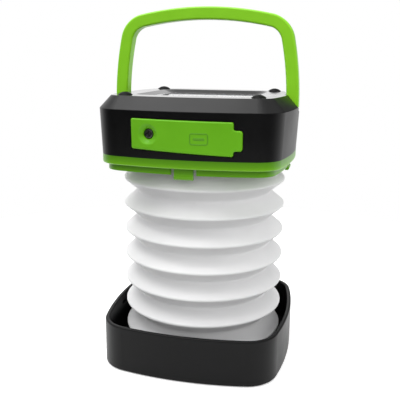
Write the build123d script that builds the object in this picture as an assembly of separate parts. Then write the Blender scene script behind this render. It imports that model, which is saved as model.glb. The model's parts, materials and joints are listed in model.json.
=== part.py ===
from build123d import *
from math import atan2, cos, pi, sin, sqrt
import os

# Collapsible solar camping lantern, in millimetres.
# Origin: centre of the underside.  +Z is up, -Y is the front (the socket side), +X is to the right.
# A lamp head slides down over a silicone bellows until it closes on the base tray.

# ---- Driving dimensions ------------------------------------------------------------------
# Plan outlines are squares with bowed sides: half width, corner radius, bow radius of the sides.
HEAD_OUTLINE = (48.0, 14.4, 159.0)
BASE_OUTLINE = (48.3, 17.0, 163.0)

# Heights of the base.
PAD_THICK = 1.1
TRAY_BOTTOM = 0.3
TRAY_FLOOR = 2.6
RIM_TOP = 24.2
TRAY_WALL = 2.2

# Heights of the head with the lantern pulled open.
HOOK_BOTTOM = 101.1
LIP_BOTTOM = 103.3
COVER_BOTTOM = 106.5
COVER_PLATE_TOP = 108.1
HOUSING_BOTTOM = 110.7
CHAMFER_BOTTOM = 132.5
HOUSING_TOP = 138.55
CHAMFER_INSET = 5.6
HEAD_DRAFT = 0.95
HEAD_WALL = 2.0
HEAD_TRAVEL = 82.0

# Bellows.
RIDGE_RADIUS = 42.9
VALLEY_RADIUS = 34.6
RIDGE_COUNT = 7
RIDGE_PITCH = 13.58
FIRST_RIDGE_Z = 95.4
SKIN = 1.2

# Handle: a half of the head's own outline, so that it folds flush around the back.
PIVOT_Z = 133.0
HANDLE_BAND = 6.2
HANDLE_STRAP = 7.0
PIN_RADIUS = 1.5

# Solar panel well in the top plate: a bevelled frame slopes down to the panel's top.
WELL_HALF = 29.5
WELL_CORNER = 7.0
PANEL_HALF = 26.0
PANEL_CORNER = 4.5
PANEL_TOP = 137.15
PANEL_SEAT = 134.85
WELL_FLOOR_BOTTOM = 133.05
TOP_FOOT_PLACE = 32.0
TOP_FOOT_RADIUS = 3.6
TOP_FOOT_SEAT = HOUSING_TOP - 0.8
TOP_FOOT_TOP = HOUSING_TOP + 1.45

# Port cover on the front wall: it grows taller towards the finger tab at its free end.
COVER_LEFT = -24.4
COVER_RIGHT = 23.2
COVER_LEFT_LOW = 115.0
COVER_LEFT_HIGH = 129.0
COVER_RIGHT_LOW = 113.0
COVER_RIGHT_HIGH = 128.5
COVER_CORNER = 0.9
TAB_RIGHT = 27.2
TAB_LOW = 115.5
TAB_HIGH = 124.8
TAB_CORNER = 1.3
COVER_THICK = 2.0
COVER_PROUD = 0.6
COVER_HINGE_X = -10.2
COVER_HINGE_GAP = 2.3
COVER_SCREW_X = -16.2
COVER_SCREW_Z = 122.0
COVER_SCREW_SEAT_Y = -44.0
EDGE_GAP = 0.3

# Electronics.
USB_X = 9.5
USB_SIZE = (13.1, 14.0, 5.7)
USB_FRONT_Y = -44.6
MICRO_X = -4.0
MICRO_SIZE = (7.5, 5.2, 2.6)
MICRO_FRONT_Y = -43.9
MAIN_BOARD_TOP = 119.1
BOARD_THICK = 1.6
CELL_RADIUS = 9.2
CELL_LENGTH = 65.0
CELL_Y = 2.0
CELL_Z = 121.6
BUTTON_Z = 119.9
BUTTON_RADIUS = 6.0
BUTTON_TRAVEL = 0.6

HOUSING_SCREW_PLACE = 33.5
PARTS = "parts"


# ---- Small helpers -----------------------------------------------------------------------
def save(node, shape):
    export_step(shape, f"{PARTS}/{node}.step")


def group(solids):
    return Compound(children=list(solids))


def box_between(low, high):
    size = [high[i] - low[i] for i in range(3)]
    middle = [(high[i] + low[i]) / 2 for i in range(3)]
    return Pos(*middle) * Box(*size)


def post(x, y, bottom, top, radius):
    """Upright cylinder between two heights."""
    return Pos(x, y, (bottom + top) / 2) * Cylinder(radius, top - bottom)


def rod_x(x0, x1, y, z, radius):
    """Cylinder lying along X."""
    return Pos((x0 + x1) / 2, y, z) * Rot(0, 90, 0) * Cylinder(radius, abs(x1 - x0))


def rod_y(y0, y1, x, z, radius):
    """Cylinder lying along Y."""
    return Pos(x, (y0 + y1) / 2, z) * Rot(90, 0, 0) * Cylinder(radius, abs(y1 - y0))


def bowed_face(z, half, corner, bow):
    """Square with bowed sides: four side arcs joined by four tangent corner arcs."""
    side_centre = half - bow
    corner_centre = (side_centre + sqrt(2 * (bow - corner) ** 2 - side_centre ** 2)) / 2
    turn = atan2(corner_centre, corner_centre - side_centre)
    x = side_centre + bow * cos(turn)
    y = bow * sin(turn)
    diagonal = corner_centre + corner / sqrt(2)
    side = ThreePointArc((x, -y), (half, 0), (x, y))
    round_corner = ThreePointArc((x, y), (diagonal, diagonal), (y, x))
    edges = [Rot(0, 0, 90 * i) * edge for i in range(4) for edge in (side, round_corner)]
    return Pos(0, 0, z) * make_face(edges)


def head_face(z, inset):
    half, corner, bow = HEAD_OUTLINE
    return bowed_face(z, half - inset, corner - inset, bow - inset)


def head_prism(inset, bottom, top):
    return extrude(head_face(bottom, inset), top - bottom)


def head_ring(outer_inset, inner_inset, bottom, top):
    return head_prism(outer_inset, bottom, top) - head_prism(inner_inset, bottom - 1, top + 1)


def draft_at(z):
    """How far the head's drafted wall stands inside its widest outline at a height."""
    return HEAD_DRAFT * (CHAMFER_BOTTOM - z) / (CHAMFER_BOTTOM - HOUSING_BOTTOM)


def drafted_solid(offset, bottom, top):
    """Solid bounded by the head's drafted wall, moved in by offset."""
    return loft([head_face(z, draft_at(z) + offset) for z in (bottom, top)])


def base_prism(inset, bottom, top):
    half, corner, bow = BASE_OUTLINE
    return extrude(bowed_face(bottom, half - inset, corner - inset, bow - inset), top - bottom)


def on_four_corners(place):
    return [(sx * place, sy * place) for sx in (-1, 1) for sy in (-1, 1)]


def on_circle(radius, count, start=0.0):
    angles = [start + 2 * pi * i / count for i in range(count)]
    return [(radius * cos(angle), radius * sin(angle)) for angle in angles]


def up_screw(x, y, seat, length, head_radius, shank_radius):
    """Pan-head screw driven upwards: its head hangs below the seat."""
    head_height = head_radius * 0.55
    screw = post(x, y, seat - head_height, seat, head_radius)
    screw += post(x, y, seat, seat + length, shank_radius)
    slot_depth = head_height * 0.6
    for across in ((0.5, head_radius * 1.2), (head_radius * 1.2, 0.5)):
        cross = Box(across[0], across[1], slot_depth)
        screw -= Pos(x, y, seat - head_height + slot_depth / 2) * cross
    return screw


def lead(points, radius=0.6, bend=2.0):
    """Insulated wire along straight runs joined by tangent arcs."""
    path = FilletPolyline(*points, radius=bend)
    section = Plane(origin=path @ 0, z_dir=path % 0) * Circle(radius)
    return sweep(section, path=path)


# ---- Base --------------------------------------------------------------------------------
PAD_OUTLINE = (33.8, 9.8, 149.8)
PAD_SLACK = 0.2
BASE_SCREW_RADIUS = 24.0
BASE_SCREW_COUNT = 6
CLAMP_PLATE_BOTTOM = 3.6
CLAMP_PLATE_TOP = 6.2


def base_tray():
    """Open tray that the bellows stands in; four pockets inside the rim take the snap hooks."""
    outside = base_prism(0, TRAY_BOTTOM, RIM_TOP)
    outside = fillet(outside.faces().sort_by(Axis.Z)[0].edges(), 0.9)
    tray = outside - base_prism(TRAY_WALL, TRAY_FLOOR, RIM_TOP + 1)
    tray = fillet(tray.faces().sort_by(Axis.Z)[-1].edges(), 0.8)
    half = BASE_OUTLINE[0]
    pocket = box_between((half - 3.5, -5.2, 18.4), (half - 1.2, 5.2, 22.4))
    for i in range(4):
        tray -= Rot(0, 0, 90 * i) * pocket
    pad_recess = bowed_face(TRAY_BOTTOM - 1, *[value + PAD_SLACK for value in PAD_OUTLINE])
    tray -= extrude(pad_recess, 1 + PAD_THICK - TRAY_BOTTOM)
    for x, y in on_circle(BASE_SCREW_RADIUS, BASE_SCREW_COUNT):
        tray -= post(x, y, 0, 5, 1.35)
    return tray


def base_pad():
    """Non-slip pad let into the underside; it hides the base screws."""
    pad = extrude(bowed_face(0, *PAD_OUTLINE), PAD_THICK)
    for x, y in on_circle(BASE_SCREW_RADIUS, BASE_SCREW_COUNT):
        pad -= post(x, y, PAD_THICK - 0.85, 5, 2.4)
    return pad


def bellows_clamp_plate():
    """Disc that presses the bellows' bottom flange onto the tray's floor."""
    plate = post(0, 0, CLAMP_PLATE_BOTTOM, CLAMP_PLATE_TOP, 32.6)
    plate = fillet(plate.edges().group_by(Axis.Z)[-1], 0.8)
    for x, y in on_circle(BASE_SCREW_RADIUS, BASE_SCREW_COUNT):
        plate += post(x, y, TRAY_FLOOR, 9.0, 3.0)
        plate -= post(x, y, TRAY_FLOOR - 1, 8.0, 1.15)
    return plate


def base_screws():
    """Pan-head screws up through the tray's floor; their heads lie in the pad's recess."""
    screws = []
    for x, y in on_circle(BASE_SCREW_RADIUS, BASE_SCREW_COUNT):
        head = post(x, y, PAD_THICK - 0.8, PAD_THICK, 2.2)
        cross = Box(0.5, 2.6, 0.5) + Box(2.6, 0.5, 0.5)
        head -= Pos(x, y, PAD_THICK - 0.8) * cross
        screws.append(head + post(x, y, PAD_THICK, 7.6, 1.1))
    return group(screws)


# ---- Bellows -----------------------------------------------------------------------------
RIDGE_ROUND = 1.0
NECK_TOP = COVER_BOTTOM
BELLOWS_FLANGE = 1.0


def bellows():
    """Thin-walled silicone bellows: seven ridges between a bottom and a top clamping flange."""
    crests = [(RIDGE_RADIUS, FIRST_RIDGE_Z - RIDGE_PITCH * i) for i in range(RIDGE_COUNT)]
    middle = [(VALLEY_RADIUS, z - RIDGE_PITCH / 2) for _, z in crests]
    outline = [(VALLEY_RADIUS, NECK_TOP - BELLOWS_FLANGE), (VALLEY_RADIUS, FIRST_RIDGE_Z + 6.8)]
    for crest, valley in zip(crests, middle):
        outline += [crest, valley]
    outline.append((VALLEY_RADIUS, TRAY_FLOOR))
    inside = [(radius - SKIN, z) for radius, z in outline]
    inside[0] = (VALLEY_RADIUS - SKIN, NECK_TOP)
    inside[-1] = (VALLEY_RADIUS - SKIN, TRAY_FLOOR + BELLOWS_FLANGE)
    top_flange = [(41.2, NECK_TOP), (41.2, NECK_TOP - BELLOWS_FLANGE)]
    bottom_flange = [(27.6, TRAY_FLOOR), (27.6, TRAY_FLOOR + BELLOWS_FLANGE)]
    points = top_flange + outline + bottom_flange + inside[::-1]
    profile = make_face(Polyline(*[(x, 0, z) for x, z in points], close=True))
    ridge_tips = [v for v in profile.vertices() if v.X > RIDGE_RADIUS - 0.1]
    skin = revolve(fillet(ridge_tips, RIDGE_ROUND), Axis.Z)
    for x, y in on_circle(CLAMP_SCREW_RADIUS, CLAMP_RING_SCREWS):
        skin -= post(x, y, NECK_TOP - 2, NECK_TOP + 1, 1.0)
    return skin


# ---- Head: the green lower cover and what it carries -------------------------------------
COVER_INSET = HEAD_DRAFT
LIP_INSET = 3.7
LIP_THICK = 1.5
TONGUE_TOP = 112.6
TONGUE_INSET = 3.2
LAMP_OPENING = 33.0
LAMP_BOARD_RADIUS = 39.5
LAMP_BOARD_BOTTOM = 110.2
LAMP_BOARD_TOP = 111.4
LAMP_PILLAR_RADIUS = 37.4
LAMP_PILLAR_COUNT = 3
CLAMP_RING_BOTTOM = 103.8
CLAMP_HEAD_SEAT = 104.7
CLAMP_RING_SCREWS = 6
CLAMP_SCREW_RADIUS = 38.6


def lower_cover():
    """Closes the head from below: outer ring, floor with the lamp opening, lip and snap hooks."""
    cover = head_prism(COVER_INSET, COVER_BOTTOM, HOUSING_BOTTOM)
    cover = fillet(cover.faces().sort_by(Axis.Z)[0].edges(), 0.6)
    cover -= head_prism(4.6, COVER_PLATE_TOP, HOUSING_BOTTOM + 1)
    cover += head_ring(TONGUE_INSET, 4.6, HOUSING_BOTTOM - 0.5, TONGUE_TOP)
    cover += head_ring(LIP_INSET, LIP_INSET + LIP_THICK, LIP_BOTTOM, COVER_BOTTOM + 0.5)
    gap = box_between((40.0, 4.5, LIP_BOTTOM - 1), (46.0, 6.1, COVER_BOTTOM))
    for i in range(4):
        for side in (gap, mirror(gap, about=Plane.XZ)):
            cover -= Rot(0, 0, 90 * i) * side
        cover += Rot(0, 0, 90 * i) * snap_hook()
    cover -= post(0, 0, COVER_BOTTOM - 1, COVER_PLATE_TOP + 1, LAMP_OPENING)
    for x, y in on_circle(LAMP_PILLAR_RADIUS, LAMP_PILLAR_COUNT, pi / 2):
        cover += post(x, y, COVER_PLATE_TOP - 0.3, LAMP_BOARD_BOTTOM, 2.0)
        cover -= post(x, y, COVER_PLATE_TOP, LAMP_BOARD_BOTTOM + 1, 0.85)
    for x, y in on_circle(CLAMP_SCREW_RADIUS, CLAMP_RING_SCREWS):
        cover -= post(x, y, COVER_BOTTOM - 1, COVER_PLATE_TOP - 0.3, 0.85)
    for x, y in on_four_corners(HOUSING_SCREW_PLACE):
        cover -= post(x, y, COVER_BOTTOM - 1, HOUSING_BOTTOM + 5, 1.6)
    cover -= seal_ring(0.0)
    return cover


def snap_hook():
    """Springy tongue in the lip on the +X side, with an outward barb at its lower end."""
    outer = HEAD_OUTLINE[0] - LIP_INSET
    inner = outer - LIP_THICK
    points = [
        (inner, COVER_BOTTOM + 0.3),
        (inner, HOOK_BOTTOM),
        (outer, HOOK_BOTTOM),
        (outer + 0.5, HOOK_BOTTOM + 0.7),
        (outer + 0.5, HOOK_BOTTOM + 1.5),
        (outer, HOOK_BOTTOM + 2.1),
        (outer, COVER_BOTTOM + 0.3),
    ]
    profile = make_face(Polyline(*[(x, 0, z) for x, z in points], close=True))
    return extrude(profile, 4.5, dir=(0, 1, 0), both=True)


def seal_ring(slack):
    """Gasket in a groove on top of the lower cover, under the housing's edge."""
    return head_ring(1.75 + slack, 2.65 - slack, HOUSING_BOTTOM - 0.9, HOUSING_BOTTOM)


def upper_clamp_ring():
    """Ring that presses the bellows' top flange against the lower cover."""
    ring = post(0, 0, CLAMP_RING_BOTTOM, NECK_TOP - BELLOWS_FLANGE, 41.4)
    ring -= post(0, 0, CLAMP_RING_BOTTOM - 1, NECK_TOP, VALLEY_RADIUS + 0.6)
    for x, y in on_circle(CLAMP_SCREW_RADIUS, CLAMP_RING_SCREWS):
        ring -= post(x, y, CLAMP_RING_BOTTOM - 1, NECK_TOP, 1.0)
        ring -= post(x, y, CLAMP_RING_BOTTOM - 1, CLAMP_HEAD_SEAT, 1.9)
    return ring


def clamp_ring_screws():
    places = on_circle(CLAMP_SCREW_RADIUS, CLAMP_RING_SCREWS)
    return group(up_screw(x, y, CLAMP_HEAD_SEAT, 2.8, 1.5, 0.8) for x, y in places)


def housing_screws():
    places = on_four_corners(HOUSING_SCREW_PLACE)
    return group(up_screw(x, y, COVER_BOTTOM, 13.0, 2.6, 1.25) for x, y in places)


def lamp_window():
    """Frosted disc over the lamp opening."""
    return post(0, 0, COVER_PLATE_TOP, COVER_PLATE_TOP + 1.2, 34.9)


def lamp_board():
    board = post(0, 0, LAMP_BOARD_BOTTOM, LAMP_BOARD_TOP, LAMP_BOARD_RADIUS)
    for x, y in on_circle(LAMP_PILLAR_RADIUS, LAMP_PILLAR_COUNT, pi / 2):
        board -= post(x, y, LAMP_BOARD_BOTTOM - 1, LAMP_BOARD_TOP + 1, 1.1)
    return board


def lamp_board_screws():
    screws = []
    for x, y in on_circle(LAMP_PILLAR_RADIUS, LAMP_PILLAR_COUNT, pi / 2):
        head = post(x, y, LAMP_BOARD_TOP, LAMP_BOARD_TOP + 0.9, 1.7)
        screws.append(head + post(x, y, COVER_PLATE_TOP + 0.1, LAMP_BOARD_TOP, 0.8))
    return group(screws)


def lamp_emitters():
    """Surface-mount white LEDs on the underside of the lamp board."""
    places = on_circle(24.0, 8) + on_circle(12.0, 4, pi / 4)
    size = (2.8, 3.5, 0.7)
    return group(Pos(x, y, LAMP_BOARD_BOTTOM - size[2] / 2) * Box(*size) for x, y in places)


# ---- Head: housing -----------------------------------------------------------------------
EDGE_ROUND = 0.35
REBATE_FLOOR = 129.2
REBATE_INSET = 7.2
REBATE_WALL = 1.6
REBATE_FRONT_Y = -0.6
SLOT_FRONT_Y = -3.8
SLOT_SILL = 132.3
POCKET_OUTER_X = 46.1
FRONT_WALL_INSET = 4.0
MAIN_BOARD_SCREWS = [(-16.5, -23.0), (16.5, -23.0)]
CRADLE_SCREWS = [(sx * 20.0, y) for sx in (-1, 1) for y in (-12.7, 16.7)]
CRADLE_EAR_TOP = 120.5
SWITCH_BOARD_Y = 36.5
SWITCH_BOARD_SCREWS = [(-11.0, 115.0), (27.0, 115.0)]
LIGHT_PIPE_X = [11.0, 14.5, 18.0, 21.5]
ANCHOR_BOSS_Y = -43.1
ANCHOR_BOSS_RADIUS = 3.5
PIN_INNER_X = 37.0
PIN_OUTER_X = 45.0


def housing_envelope():
    """Outer form of the black housing: drafted walls and a chamfer round the top."""
    walls = drafted_solid(0, HOUSING_BOTTOM, CHAMFER_BOTTOM)
    top = loft([head_face(CHAMFER_BOTTOM, 0), head_face(HOUSING_TOP, CHAMFER_INSET)])
    envelope = walls + top
    shoulder = [edge for edge in envelope.edges() if abs(edge.center().Z - CHAMFER_BOTTOM) < 0.01]
    brow = [edge for edge in envelope.edges() if abs(edge.center().Z - HOUSING_TOP) < 0.01]
    return fillet(shoulder + brow, EDGE_ROUND)


def rounded_square(z, half, corner):
    return Pos(0, 0, z) * RectangleRounded(2 * half, 2 * half, corner)


def well_prism(grow, bottom, top):
    return extrude(rounded_square(bottom, WELL_HALF + grow, WELL_CORNER + grow), top - bottom)


def panel_prism(grow, bottom, top):
    return extrude(rounded_square(bottom, PANEL_HALF + grow, PANEL_CORNER + grow), top - bottom)


def well_cavity():
    """Seat of the panel and the bevel above it, run on past the top plate at the same slope."""
    depth = HOUSING_TOP - PANEL_TOP
    past = 2 * WELL_HALF - PANEL_HALF
    past_corner = 2 * WELL_CORNER - PANEL_CORNER
    low = rounded_square(PANEL_TOP, PANEL_HALF, PANEL_CORNER)
    high = rounded_square(HOUSING_TOP + depth, past, past_corner)
    return loft([low, high]) + panel_prism(0, PANEL_SEAT, PANEL_TOP)


def rebate_region(inner_inset, bottom, top, front):
    """Band round the back half of the head's outline, from y = front backwards."""
    return head_ring(-4, inner_inset, bottom, top) & box_between((-60, front, 0), (60, 60, 200))


def port_outline(grow):
    """Outline of the port cover: a slightly flared plate and its finger tab."""
    corners = [
        (COVER_LEFT - grow, COVER_LEFT_LOW - grow),
        (COVER_RIGHT + grow, COVER_RIGHT_LOW - grow),
        (COVER_RIGHT + grow, COVER_RIGHT_HIGH + grow),
        (COVER_LEFT - grow, COVER_LEFT_HIGH + grow),
    ]
    plate = make_face(Polyline(*corners, close=True))
    plate = fillet(plate.vertices(), COVER_CORNER + grow)
    tab_left = COVER_RIGHT - 6
    tab_width = TAB_RIGHT + grow - tab_left
    tab = RectangleRounded(tab_width, TAB_HIGH - TAB_LOW + 2 * grow, TAB_CORNER + grow)
    return plate + Pos(tab_left + tab_width / 2, (TAB_LOW + TAB_HIGH) / 2) * tab


def port_panel(grow, outer, inner):
    """Slab under the port cover's outline, between two offsets of the drafted front wall."""
    plane = Plane(origin=(0, -38, 0), x_dir=(1, 0, 0), z_dir=(0, -1, 0))
    slab = extrude(plane * port_outline(grow), 16)
    low, high = HOUSING_BOTTOM, CHAMFER_BOTTOM
    return slab & (drafted_solid(-outer, low, high) - drafted_solid(inner, low, high))


def handle_pocket(side):
    """Room for one handle leg and its hub, cut through the chamfer at mid depth."""
    inner = HEAD_OUTLINE[0] - REBATE_INSET
    slot = box_between((inner, SLOT_FRONT_Y, SLOT_SILL), (60, REBATE_FRONT_Y + 0.01, 150))
    hub_room = rod_x(inner, POCKET_OUTER_X, 0, PIVOT_Z, 3.85)
    above = box_between((inner, SLOT_FRONT_Y, PIVOT_Z), (POCKET_OUTER_X, 0, 150))
    room = slot + hub_room + above
    return room if side > 0 else mirror(room, about=Plane.YZ)


def head_housing():
    """Black shell with the panel well, the port recess and the rebate for the folded handle."""
    envelope = housing_envelope()
    wall_inner = HEAD_DRAFT + HEAD_WALL
    roof = HOUSING_TOP - 1.8
    hollow = head_prism(wall_inner, HOUSING_BOTTOM - 1, CHAMFER_BOTTOM - 1.2)
    sections = [(CHAMFER_BOTTOM - 1.2, wall_inner), (roof, wall_inner + 4.8)]
    hollow += loft([head_face(z, inset) for z, inset in sections])
    hollow -= well_prism(REBATE_WALL, WELL_FLOOR_BOTTOM, HOUSING_TOP + 1)
    ledge = rebate_region(REBATE_INSET + REBATE_WALL, REBATE_FLOOR - 1.6, 137, SLOT_FRONT_Y - 1.6)
    hollow -= ledge
    inner = HEAD_OUTLINE[0] - REBATE_INSET
    for side in (-1, 1):
        xs = sorted((side * (PIN_INNER_X + 0.4), side * inner))
        hollow -= box_between((xs[0], -5.4, 128.0), (xs[1], 5.4, 137))
    above_tongue = box_between((-60, -60, TONGUE_TOP + 1), (60, 0, 140))
    hollow -= port_panel(3.0, 0.5, FRONT_WALL_INSET) & above_tongue
    hollow -= housing_posts()
    shell = envelope - hollow
    shell -= well_cavity()
    shell -= rebate_region(REBATE_INSET, REBATE_FLOOR, HOUSING_TOP + 2, REBATE_FRONT_Y)
    for side in (-1, 1):
        shell -= handle_pocket(side)
        shell -= rod_x(side * (PIN_INNER_X - 2), side * 41.5, 0, PIVOT_Z, PIN_RADIUS + 0.01)
    shell -= port_panel(EDGE_GAP, 6, COVER_THICK)
    shell -= housing_holes()
    return shell


def housing_posts():
    """Screw posts inside the housing."""
    posts = []
    for x, y in on_four_corners(HOUSING_SCREW_PLACE):
        posts.append(post(x, y, HOUSING_BOTTOM + 0.2, HOUSING_TOP - 1, 3.5))
    for x, y in MAIN_BOARD_SCREWS:
        posts.append(post(x, y, MAIN_BOARD_TOP, WELL_FLOOR_BOTTOM + 1, 2.2))
    for x, y in CRADLE_SCREWS:
        posts.append(post(x, y, CRADLE_EAR_TOP, WELL_FLOOR_BOTTOM + 1, 2.2))
    for x, z in SWITCH_BOARD_SCREWS:
        posts.append(rod_y(SWITCH_BOARD_Y, 46, x, z, 2.2))
    anchor_boss = rod_y(-45, -38, COVER_SCREW_X, COVER_SCREW_Z, ANCHOR_BOSS_RADIUS)
    posts.append(anchor_boss & box_between((-30, -50, MAIN_BOARD_TOP + 0.2), (0, -30, 130)))
    whole = posts[0]
    for item in posts[1:]:
        whole += item
    return whole


def housing_holes():
    """Screw holes, socket openings, button and light-pipe holes, foot seats, lead hole."""
    holes = []
    for x, y in on_four_corners(HOUSING_SCREW_PLACE):
        holes.append(post(x, y, HOUSING_BOTTOM - 1, HOUSING_BOTTOM + 10, 1.3))
    for x, y in MAIN_BOARD_SCREWS:
        holes.append(post(x, y, MAIN_BOARD_TOP - 1, MAIN_BOARD_TOP + 6, 0.85))
    for x, y in CRADLE_SCREWS:
        holes.append(post(x, y, CRADLE_EAR_TOP - 1, CRADLE_EAR_TOP + 6, 0.85))
    for x, z in SWITCH_BOARD_SCREWS:
        holes.append(rod_y(SWITCH_BOARD_Y - 1, SWITCH_BOARD_Y + 6, x, z, 0.85))
    for x, y in on_four_corners(TOP_FOOT_PLACE):
        holes.append(post(x, y, TOP_FOOT_SEAT, HOUSING_TOP + 2, TOP_FOOT_RADIUS))
    for x in LIGHT_PIPE_X:
        holes.append(rod_y(40, 50, x, BUTTON_Z, 1.05))
    holes.append(rod_y(40, 50, 0, BUTTON_Z, BUTTON_RADIUS + 0.25))
    holes.append(post(0, -24.0, WELL_FLOOR_BOTTOM - 1, PANEL_SEAT + 1, 1.8))
    holes.append(rod_y(-48, -37, COVER_SCREW_X, COVER_SCREW_Z, 1.0))
    holes.append(rod_y(-48, ANCHOR_BOSS_Y, COVER_SCREW_X, COVER_SCREW_Z, ANCHOR_BOSS_RADIUS + 0.1))
    for x, z, width, height in socket_openings():
        low = (x - width / 2, -50, z - height / 2)
        high = (x + width / 2, -42, z + height / 2)
        holes.append(box_between(low, high))
    whole = holes[0]
    for item in holes[1:]:
        whole += item
    return whole


def socket_openings():
    """Centre and size of the two openings behind the port cover."""
    usb_z = MAIN_BOARD_TOP + USB_SIZE[2] / 2
    micro_z = MAIN_BOARD_TOP + MICRO_SIZE[2] / 2
    return [
        (USB_X, usb_z, USB_SIZE[0] + 0.5, USB_SIZE[2] + 0.5),
        (MICRO_X, micro_z, MICRO_SIZE[0] + 0.5, MICRO_SIZE[2] + 0.5),
    ]


def top_feet():
    """Four domed rubber feet round the panel well; the head can stand on them upside down."""
    rise = TOP_FOOT_TOP - HOUSING_TOP
    dome_radius = (TOP_FOOT_RADIUS ** 2 + rise ** 2) / (2 * rise)
    feet = []
    for x, y in on_four_corners(TOP_FOOT_PLACE):
        stud = post(x, y, TOP_FOOT_SEAT, TOP_FOOT_TOP + 1, TOP_FOOT_RADIUS)
        feet.append(stud & (Pos(x, y, TOP_FOOT_TOP - dome_radius) * Sphere(dome_radius)))
    return group(feet)


# ---- Solar panel -------------------------------------------------------------------------
PANEL_SLACK = 0.15


def solar_backing():
    """Stiff board that carries the cells."""
    return panel_prism(-PANEL_SLACK, PANEL_SEAT, PANEL_SEAT + 1.0)


def solar_cells():
    """Ten silicon strips laid side by side."""
    count, gap, span = 10, 0.8, 47.0
    width = (span - gap * (count - 1)) / count
    strips = []
    for i in range(count):
        x = -span / 2 + width / 2 + i * (width + gap)
        strips.append(Pos(x, 0, PANEL_SEAT + 1.15) * Box(width, span, 0.3))
    return group(strips)


def panel_window():
    """Clear cover bonded over the cells."""
    return panel_prism(-PANEL_SLACK, PANEL_SEAT + 1.3, PANEL_TOP)


# ---- Handle ------------------------------------------------------------------------------
def handle():
    """Rigid bail: the upper half of the head's outline stood on edge, with a hub on each leg."""
    half, corner, bow = [value - 0.1 for value in HEAD_OUTLINE]
    band = bowed_face(-HANDLE_STRAP / 2, half, corner, bow)
    band -= bowed_face(-HANDLE_STRAP / 2, half - HANDLE_BAND, corner - HANDLE_BAND, bow - HANDLE_BAND)
    bail = extrude(band, HANDLE_STRAP) & box_between((-60, -0.4, -10), (60, 60, 10))
    rims = [e for e in bail.edges() if abs(abs(e.center().Z) - HANDLE_STRAP / 2) < 0.01]
    long_rims = [e for e in rims if e.center().Y > 0.5]
    bail = Pos(0, 0, PIVOT_Z) * Rot(90, 0, 0) * fillet(long_rims, 1.0)
    inner = half - HANDLE_BAND
    for side in (-1, 1):
        bail += rod_x(side * (inner + 0.1), side * (inner + 4.1), 0, PIVOT_Z, HANDLE_STRAP / 2)
    for side in (-1, 1):
        bail -= rod_x(side * (inner - 1), side * (PIN_OUTER_X + 0.3), 0, PIVOT_Z, PIN_RADIUS + 0.06)
    return bail


def handle_pins():
    return group(rod_x(side * PIN_INNER_X, side * PIN_OUTER_X, 0, PIVOT_Z, PIN_RADIUS) for side in (-1, 1))


# ---- Port cover --------------------------------------------------------------------------
HINGE_AXIS_Y = -46.5


def port_cover_blank():
    return port_panel(0, COVER_PROUD, COVER_THICK - EDGE_GAP)


def port_cover():
    """Swinging part of the rubber cover, with the plugs that close the two sockets."""
    flap = port_cover_blank() & box_between((COVER_HINGE_X + 0.2, -60, 100), (60, 0, 140))
    flap += post(COVER_HINGE_X, HINGE_AXIS_Y, COVER_LEFT_LOW, COVER_LEFT_HIGH - 0.3, 0.75)
    usb, micro = socket_openings()
    flap += box_between((usb[0] - 5.4, -46, usb[1] - 1.9), (usb[0] + 5.4, -42.6, usb[1] + 1.9))
    flap += box_between((micro[0] - 2.4, -46, micro[1] - 0.7), (micro[0] + 2.4, -44.3, micro[1] + 0.7))
    return flap


def port_cover_anchor():
    """Fixed end of the rubber cover: a boss behind a conical hole takes the screw."""
    fixed_end = box_between((-60, -60, 100), (COVER_HINGE_X - COVER_HINGE_GAP, 0, 140))
    anchor = port_cover_blank() & fixed_end
    anchor += rod_y(-46.0, ANCHOR_BOSS_Y, COVER_SCREW_X, COVER_SCREW_Z, ANCHOR_BOSS_RADIUS)
    cone = Cone(4.6, 2.4, 1.5)
    anchor -= Pos(COVER_SCREW_X, -46.65, COVER_SCREW_Z) * Rot(-90, 0, 0) * cone
    anchor -= rod_y(-50, COVER_SCREW_SEAT_Y, COVER_SCREW_X, COVER_SCREW_Z, 2.4)
    anchor -= rod_y(-50, -40, COVER_SCREW_X, COVER_SCREW_Z, 1.3)
    return anchor


def port_cover_screw():
    """Pan-head cross-recess screw that holds the rubber cover's fixed end."""
    seat = COVER_SCREW_SEAT_Y
    head = rod_y(seat - 1.3, seat, COVER_SCREW_X, COVER_SCREW_Z, 2.2)
    head = fillet(head.edges().group_by(Axis.Y)[0], 0.6)
    screw = head + rod_y(seat, seat + 6.0, COVER_SCREW_X, COVER_SCREW_Z, 1.0)
    cross = Box(0.6, 1.6, 2.6) + Box(2.6, 1.6, 0.6)
    return screw - Pos(COVER_SCREW_X, seat - 1.3, COVER_SCREW_Z) * cross


# ---- Electronics -------------------------------------------------------------------------
def usb_output_socket():
    """Metal shell of the USB-A output."""
    width, depth, height = USB_SIZE
    z = MAIN_BOARD_TOP + height / 2
    shell = Pos(USB_X, USB_FRONT_Y + depth / 2, z) * Box(width, depth, height)
    return shell - Pos(USB_X, USB_FRONT_Y + 6.2, z) * Box(width - 0.6, 12.6, height - 0.6)


def usb_output_tongue():
    z = MAIN_BOARD_TOP + USB_SIZE[2] / 2 + 0.95
    return box_between((USB_X - 5.55, -42.2, z - 0.9), (USB_X + 5.55, USB_FRONT_Y + 12.5, z + 0.9))


def micro_input_socket():
    width, depth, height = MICRO_SIZE
    z = MAIN_BOARD_TOP + height / 2
    shell = Pos(MICRO_X, MICRO_FRONT_Y + depth / 2, z) * Box(width, depth, height)
    shell = chamfer(shell.edges().filter_by(Axis.Y).group_by(Axis.Z)[0], 0.7)
    shell -= box_between((MICRO_X - 3.3, -50, z - 0.7), (MICRO_X + 3.3, MICRO_FRONT_Y + 4.4, z + 0.95))
    return shell + box_between((MICRO_X - 1.8, -43.3, z - 0.05), (MICRO_X + 1.8, -39.3, z + 0.4))


def main_board():
    board = box_between((-20, -41.6, MAIN_BOARD_TOP - BOARD_THICK), (20, -20, MAIN_BOARD_TOP))
    for x, y in MAIN_BOARD_SCREWS:
        board -= post(x, y, 100, 140, 1.1)
    return board


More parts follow.
